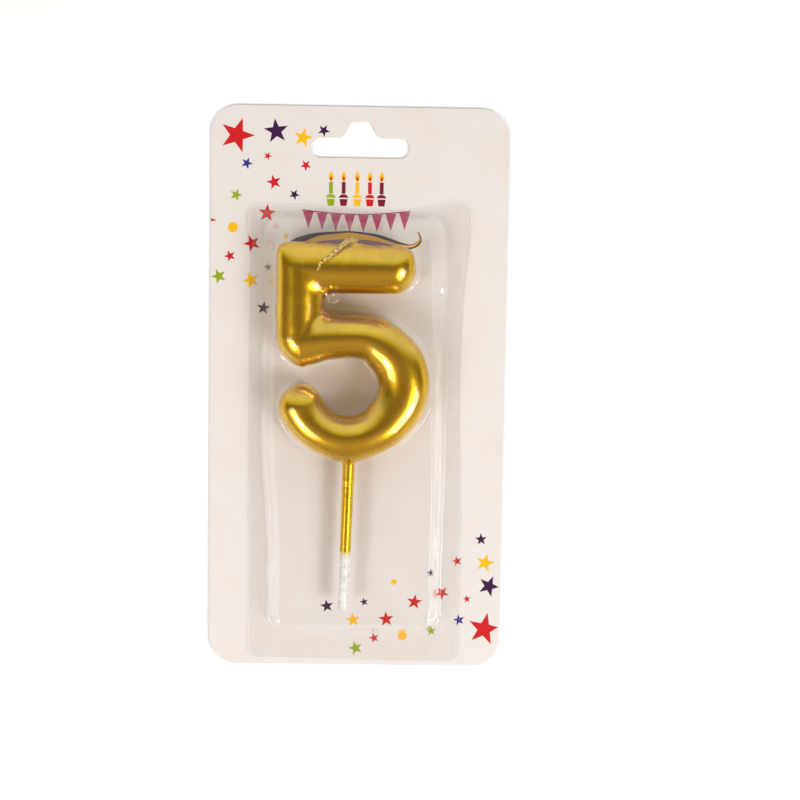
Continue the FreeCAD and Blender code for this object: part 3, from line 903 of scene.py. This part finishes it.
def star(x, y, reach, turn):
    """Five-pointed star, cut off where the card is trimmed."""
    corners = []
    for i in range(10):
        angle = math.radians(90 + turn + 36 * i)
        r = reach if i % 2 == 0 else reach * 0.4
        across = min(max(x + r * math.cos(angle), CARD_LOW[0] + 0.1), CARD_HIGH[0] - 0.4)
        corners.append((across, y + r * math.sin(angle)))
    return corners


def disc(x, y, radius, squeeze=1.0, count=28):
    steps = [2 * math.pi * i / count for i in range(count)]
    return [(x + radius * math.cos(a), y + radius * squeeze * math.sin(a)) for a in steps]


def flame(x, y, width, height):
    """A pointed drop, from its round foot to its tip."""
    side = [(0.0, 0.0), (0.62, 0.1), (1.0, 0.34), (0.78, 0.58), (0.34, 0.82), (0.0, 1.0)]
    right = [(x + a * width / 2, y + b * height) for a, b in side]
    left = [(x - a * width / 2, y + b * height) for a, b in side[-2:0:-1]]
    return right + left


def ribbon(stops, count):
    """A band through points given as x, y and width, its middle line smooth."""
    stops = np.array(stops, float)
    chord = np.concatenate(([0], np.cumsum(np.linalg.norm(np.diff(stops[:, :2], axis=0), axis=1))))
    steps = np.linspace(0, chord[-1], count)
    line = np.stack([np.interp(steps, chord, stops[:, i]) for i in range(3)], 1)
    for _ in range(6):
        line[1:-1] = (line[:-2] + 2 * line[1:-1] + line[2:]) / 4
    tangent = np.gradient(line[:, :2], axis=0)
    tangent /= np.linalg.norm(tangent, axis=1)[:, None]
    side = np.stack((-tangent[:, 1], tangent[:, 0]), 1) * line[:, 2:] / 2
    upper, lower = line[:, :2] + side, line[:, :2] - side
    return [tuple(p) for p in lower] + [tuple(p) for p in upper[::-1]]


def ribbon_slab(stops, low, high, count=40):
    """A ribbon's slab in short quads, so that no long face folds."""
    outline = ribbon(stops, count)
    last = len(outline) - 1
    return slab(outline, low, high, [(i, i + 1, last - 1 - i, last - i) for i in range(last // 2)])


def bunting_line(x):
    """Height on the card of the sagging line that the flags hang from."""
    return 58.1 - 1.2 * math.sin(math.pi * (x - BUNTING_LEFT) / BUNTING_L)


def build_printing(settings, inks):
    """Every ink's shapes as one thin piece. Later layers stand a little higher, as overprinting does."""
    low, high = CARD_TOP - 0.02, CARD_TOP + settings.ink_thickness / MM
    shapes = {name: [] for name in INKS}
    for ink, stars in STARS.items():
        shapes[ink] += [slab(star(*row), low, high) for row in stars]
    # One more star is trimmed off but for its tip.
    trimmed_tip = [(CARD_LOW[0] + 0.05, 54.1), (CARD_LOW[0] + 1.9, 54.6), (CARD_LOW[0] + 0.05, 55.2)]
    shapes["red"].append(slab(trimmed_tip, low, high))
    for ink, x, y, radius in DOTS:
        shapes[ink].append(slab(disc(x, y, radius), low, high))
    base, half, tall = 63.7, 0.62, 3.8
    for ink, x in CANDLES:
        body = [(x - half, base), (x + half, base), (x + half, base + tall), (x - half, base + tall)]
        shapes[ink].append(slab(body, low, high))
        shapes["yellow"].append(slab(flame(x, base + 4.0, 1.8, 3.3), low, high))
        shapes["red"].append(slab(flame(x, base + 4.1, 0.8, 1.7), low, high + OVERPRINT))
        # A small cup cake under each candle.
        top = [(x - 1.5, base - 1.3), (x + 1.5, base - 1.3)] + disc(x, base - 1.3, 1.5, 0.75)[1:14]
        shapes[ink].append(slab(top, low, high))
        cup = [(x - 0.95, base - 3.9), (x + 0.95, base - 3.9), (x + 1.3, base - 1.7), (x - 1.3, base - 1.7)]
        shapes[ink].append(slab(cup, low, high))
    # Bunting below them.
    string = [(x, 0.2 + bunting_line(x), 0.4) for x in np.linspace(BUNTING_LEFT, BUNTING_LEFT + BUNTING_L, 9)]
    shapes["magenta"].append(ribbon_slab(string, low, high))
    for i in range(8):
        x = -16.6 + 4.45 * i
        y = bunting_line(x)
        shapes["magenta"].append(slab([(x, y - 5.6), (x + 1.75, y), (x - 1.75, y)], low, high))
    # A ribbon behind the numeral's bar, with a curl at its right end.
    arc = [(-24.0, 46.9, 0.3), (-20.0, 48.5, 2.2), (-14.0, 49.7, 2.8), (-3.0, 50.4, 2.9), (6.0, 49.4, 2.9)]
    arc += [(12.0, 47.7, 2.2), (16.5, 46.6, 1.5), (19.4, 47.7, 1.2), (20.3, 49.8, 1.0), (18.9, 51.7, 0.4)]
    shapes["violet"].append(ribbon_slab(arc, low, high, 60))
    inner = [(-18.5, 47.6, 0.3), (-13.0, 49.2, 2.0), (-3.0, 50.1, 2.4), (5.0, 49.2, 1.9), (11.0, 47.6, 0.8)]
    inner += [(16.4, 46.8, 0.6), (19.1, 47.8, 0.6), (20.0, 49.7, 0.5), (18.9, 51.4, 0.2)]
    shapes["yellow"].append(ribbon_slab(inner, low, high + OVERPRINT, 60))
    under = np.linspace(13, -19, 26)
    lens = [(x, 45.5 + 3.6 * math.sqrt(max(0, 1 - ((x + 3) / 16) ** 2))) for x in under]
    shapes["mauve"].append(slab(lens, low, high + 0.012))
    for ink, parts in shapes.items():
        points, faces = joined(parts)
        add_piece("printed_" + ink, points, faces, inks[ink], "card", False)


def build_seal(lacquer):
    """The lacquer frame under the flange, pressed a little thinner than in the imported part."""
    low, high = box_mm("heat_seal_band")
    outer = [low[0], low[1], high[0], high[1]]
    inner = [GOLD_LOW[0] - 4.2, PICK_LOW[1] - 8.2, GOLD_HIGH[0] + 5.0, GOLD_HIGH[1] + 8.6]
    rings = []
    for (x0, y0, x1, y1), radius in ((outer, 2.7), (inner, 5.5)):
        ring = []
        for cx, cy, start in ((x1, y1, 0), (x0, y1, 90), (x0, y0, 180), (x1, y0, 270)):
            mx = cx - radius if start in (0, 270) else cx + radius
            my = cy - radius if start in (0, 90) else cy + radius
            for step in range(9):
                angle = math.radians(start + 90 * step / 8)
                ring.append((mx + radius * math.cos(angle), my + radius * math.sin(angle)))
        rings.append(ring)
    count = len(rings[0])
    points = [(x, y, z) for z in (CARD_TOP + 0.028, CARD_TOP + 0.045) for ring in rings for x, y in ring]
    faces = []
    for i in range(count):
        j = (i + 1) % count
        a, b, c, d = 0, count, 2 * count, 3 * count
        faces += [(c + i, c + j, d + j, d + i), (a + j, a + i, b + i, b + j)]
        faces += [(a + i, a + j, c + j, c + i), (b + j, b + i, d + i, d + j)]
    piece = add_piece("seal_band", points, faces, lacquer, "card", False)
    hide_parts("heat_seal_band")


def dress(node, material):
    """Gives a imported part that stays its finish."""
    slots = frame["nodes"][node].material_slots
    if not slots:
        frame["nodes"][node].data.materials.append(material)
    for slot in slots:
        slot.material = material


# ---------------------------------------------------------------- stage
def add_softbox(name, place, width, height, power, colour):
    """A soft rectangular lamp that faces the middle of the card."""
    light = bpy.data.lights.new(name, "AREA")
    light.shape = "RECTANGLE"
    light.size, light.size_y = width, height
    light.energy = power
    light.color = colour
    lamp = bpy.data.objects.new(name, light)
    lamp.location = place
    lamp.rotation_euler = (-Vector(place)).to_track_quat("-Z", "Y").to_euler()
    bpy.context.scene.collection.objects.link(lamp)


def build_stage(settings):
    """The paper floor, the graded studio light and the camera."""
    scene = bpy.context.scene
    reach, below = 1500, -0.3
    points = [(x * reach, y * reach, below) for x, y in ((-1, -1), (1, -1), (1, 1), (-1, 1))]
    mesh = make_mesh("floor", points, [(0, 1, 2, 3)])
    mesh.materials.append(studio_paper(settings.paper))
    floor = bpy.data.objects.new("floor", mesh)
    scene.collection.objects.link(floor)

    world = bpy.data.worlds.new("studio")
    world.use_nodes = True
    tree = world.node_tree
    tree.nodes.clear()
    # A pale wall up the card's far side, a dim room round it and a warm one towards its foot.
    around = add_node(tree, "TexCoord").outputs["Generated"]
    far = add_node(tree, "SeparateXYZ", {"Vector": around}).outputs["Y"]
    share = add_node(tree, "MapRange", {"Value": far, "From Min": -1.0, "From Max": 1.0})
    walls = (
        (0.2, (0.46, 0.35, 0.22, 1)),
        (0.4, (0.40, 0.29, 0.17, 1)),
        (0.5, (0.18, 0.13, 0.07, 1)),
        (0.63, (0.16, 0.12, 0.06, 1)),
        (0.74, (0.88, 0.95, 0.98, 1)),
        (1.0, (0.97, 1.04, 1.08, 1)),
    )
    tone = add_node(tree, "ValToRGB", {"Fac": share}, stops=walls)
    light = add_node(tree, "Background", {"Color": tone, "Strength": 1.0})
    add_node(tree, "OutputWorld", {"Surface": light})
    scene.world = world

    add_softbox("left_bank", (-0.88, -0.65, 1.02), 0.92, 0.69, 5.6, (1, 1.04, 1.12))
    add_softbox("right_bank", (0.94, -0.57, 1.02), 0.9, 0.69, 9.9, (1, 1.04, 1.11))
    add_softbox("left_core", (-0.83, -0.69, 1.01), 0.24, 0.21, 2.9, (1, 1.03, 1.1))
    add_softbox("right_core", (0.89, -0.61, 1.01), 0.27, 0.24, 4.1, (1, 1.03, 1.1))

    camera = bpy.data.cameras.new("camera")
    camera.lens = settings.lens
    camera.sensor_width = 36
    camera.clip_start = 0.02
    eye = bpy.data.objects.new("camera", camera)
    eye.location = (0.0063, 0.0425, 0.5)
    eye.rotation_euler = tuple(math.radians(a) for a in (-5.22, -0.80, 0.89))
    scene.collection.objects.link(eye)
    scene.camera = eye
    scene.view_settings.view_transform = "Standard"
    # A ray crosses the clear film and the seal many times.
    scene.cycles.transparent_max_bounces = 32


# ---------------------------------------------------------------- operators
class CANDLEPACK_OT_stage(bpy.types.Operator):
    """Sets the floor, the soft light and the camera"""

    bl_idname = "candlepack.stage"
    bl_label = "Stage"

    def execute(self, context):
        build_stage(context.scene.candlepack_studio)
        return {"FINISHED"}


class CANDLEPACK_OT_card(bpy.types.Operator):
    """Finishes the card and prints its stars, cup cakes, bunting and ribbon"""

    bl_idname = "candlepack.card"
    bl_label = "Card and printing"

    def execute(self, context):
        settings = context.scene.candlepack_card
        dress("backing_card", printed_board(tuple(settings.ground), linear("#F1EEE8")))
        build_printing(settings, {name: printing_ink(name, code) for name, code in INKS.items()})
        build_seal(seal_lacquer(linear("#F2EDE8")))
        return {"FINISHED"}


class CANDLEPACK_OT_candle(bpy.types.Operator):
    """Builds the gold numeral, its pick and its wick"""

    bl_idname = "candlepack.candle"
    bl_label = "Candle"

    def execute(self, context):
        settings = context.scene.candlepack_candle
        gold = gold_lacquer(tuple(settings.gold))
        build_numeral(settings, gold, paraffin_wax(linear("#E9E0CB")))
        plastic = moulded_polypropylene(tuple(settings.pick_white), linear("#E3CF8C"), SLEEVE_LOW[1])
        build_pick(settings, gold, plastic)
        # The second colour is painted shade for the wick's creases.
        cotton = lacquered_wick(linear("#E4C560"), linear("#86661A"))
        build_wick(settings, cotton)
        dress("wick_core", cotton)
        return {"FINISHED"}


class CANDLEPACK_OT_film(bpy.types.Operator):
    """Builds the clear thermoformed blister"""

    bl_idname = "candlepack.film"
    bl_label = "Blister"

    def execute(self, context):
        settings = context.scene.candlepack_film
        build_film(settings, clear_film(tuple(settings.tint)))
        return {"FINISHED"}


class CANDLEPACK_PT_panel(bpy.types.Panel):
    """Sizes, colours and the steps that build the pack"""

    bl_idname = "CANDLEPACK_PT_panel"
    bl_label = "Candle pack"
    bl_space_type = "VIEW_3D"
    bl_region_type = "UI"
    bl_category = "Candle pack"

    def draw(self, context):
        for step, name in STEPS:
            self.layout.operator(step.bl_idname)
            group = getattr(context.scene, name)
            for prop in group.bl_rna.properties:
                if prop.identifier not in ("rna_type", "name"):
                    self.layout.prop(group, prop.identifier)


STEPS = (
    (CANDLEPACK_OT_stage, "candlepack_studio"),
    (CANDLEPACK_OT_card, "candlepack_card"),
    (CANDLEPACK_OT_candle, "candlepack_candle"),
    (CANDLEPACK_OT_film, "candlepack_film"),
)
GROUPS = {
    "candlepack_studio": StudioSettings,
    "candlepack_card": CardSettings,
    "candlepack_candle": CandleSettings,
    "candlepack_film": FilmSettings,
}
CLASSES = tuple(GROUPS.values()) + tuple(step for step, _ in STEPS) + (CANDLEPACK_PT_panel,)


def register():
    for cls in CLASSES:
        bpy.utils.register_class(cls)
    for name, group in GROUPS.items():
        setattr(bpy.types.Scene, name, PointerProperty(type=group))


def unregister():
    for name in GROUPS:
        delattr(bpy.types.Scene, name)
    for cls in reversed(CLASSES):
        bpy.utils.unregister_class(cls)


def main():
    register()
    for step in ("stage", "card", "candle", "film"):
        getattr(bpy.ops.candlepack, step)()


if __name__ == "__main__":
    main()
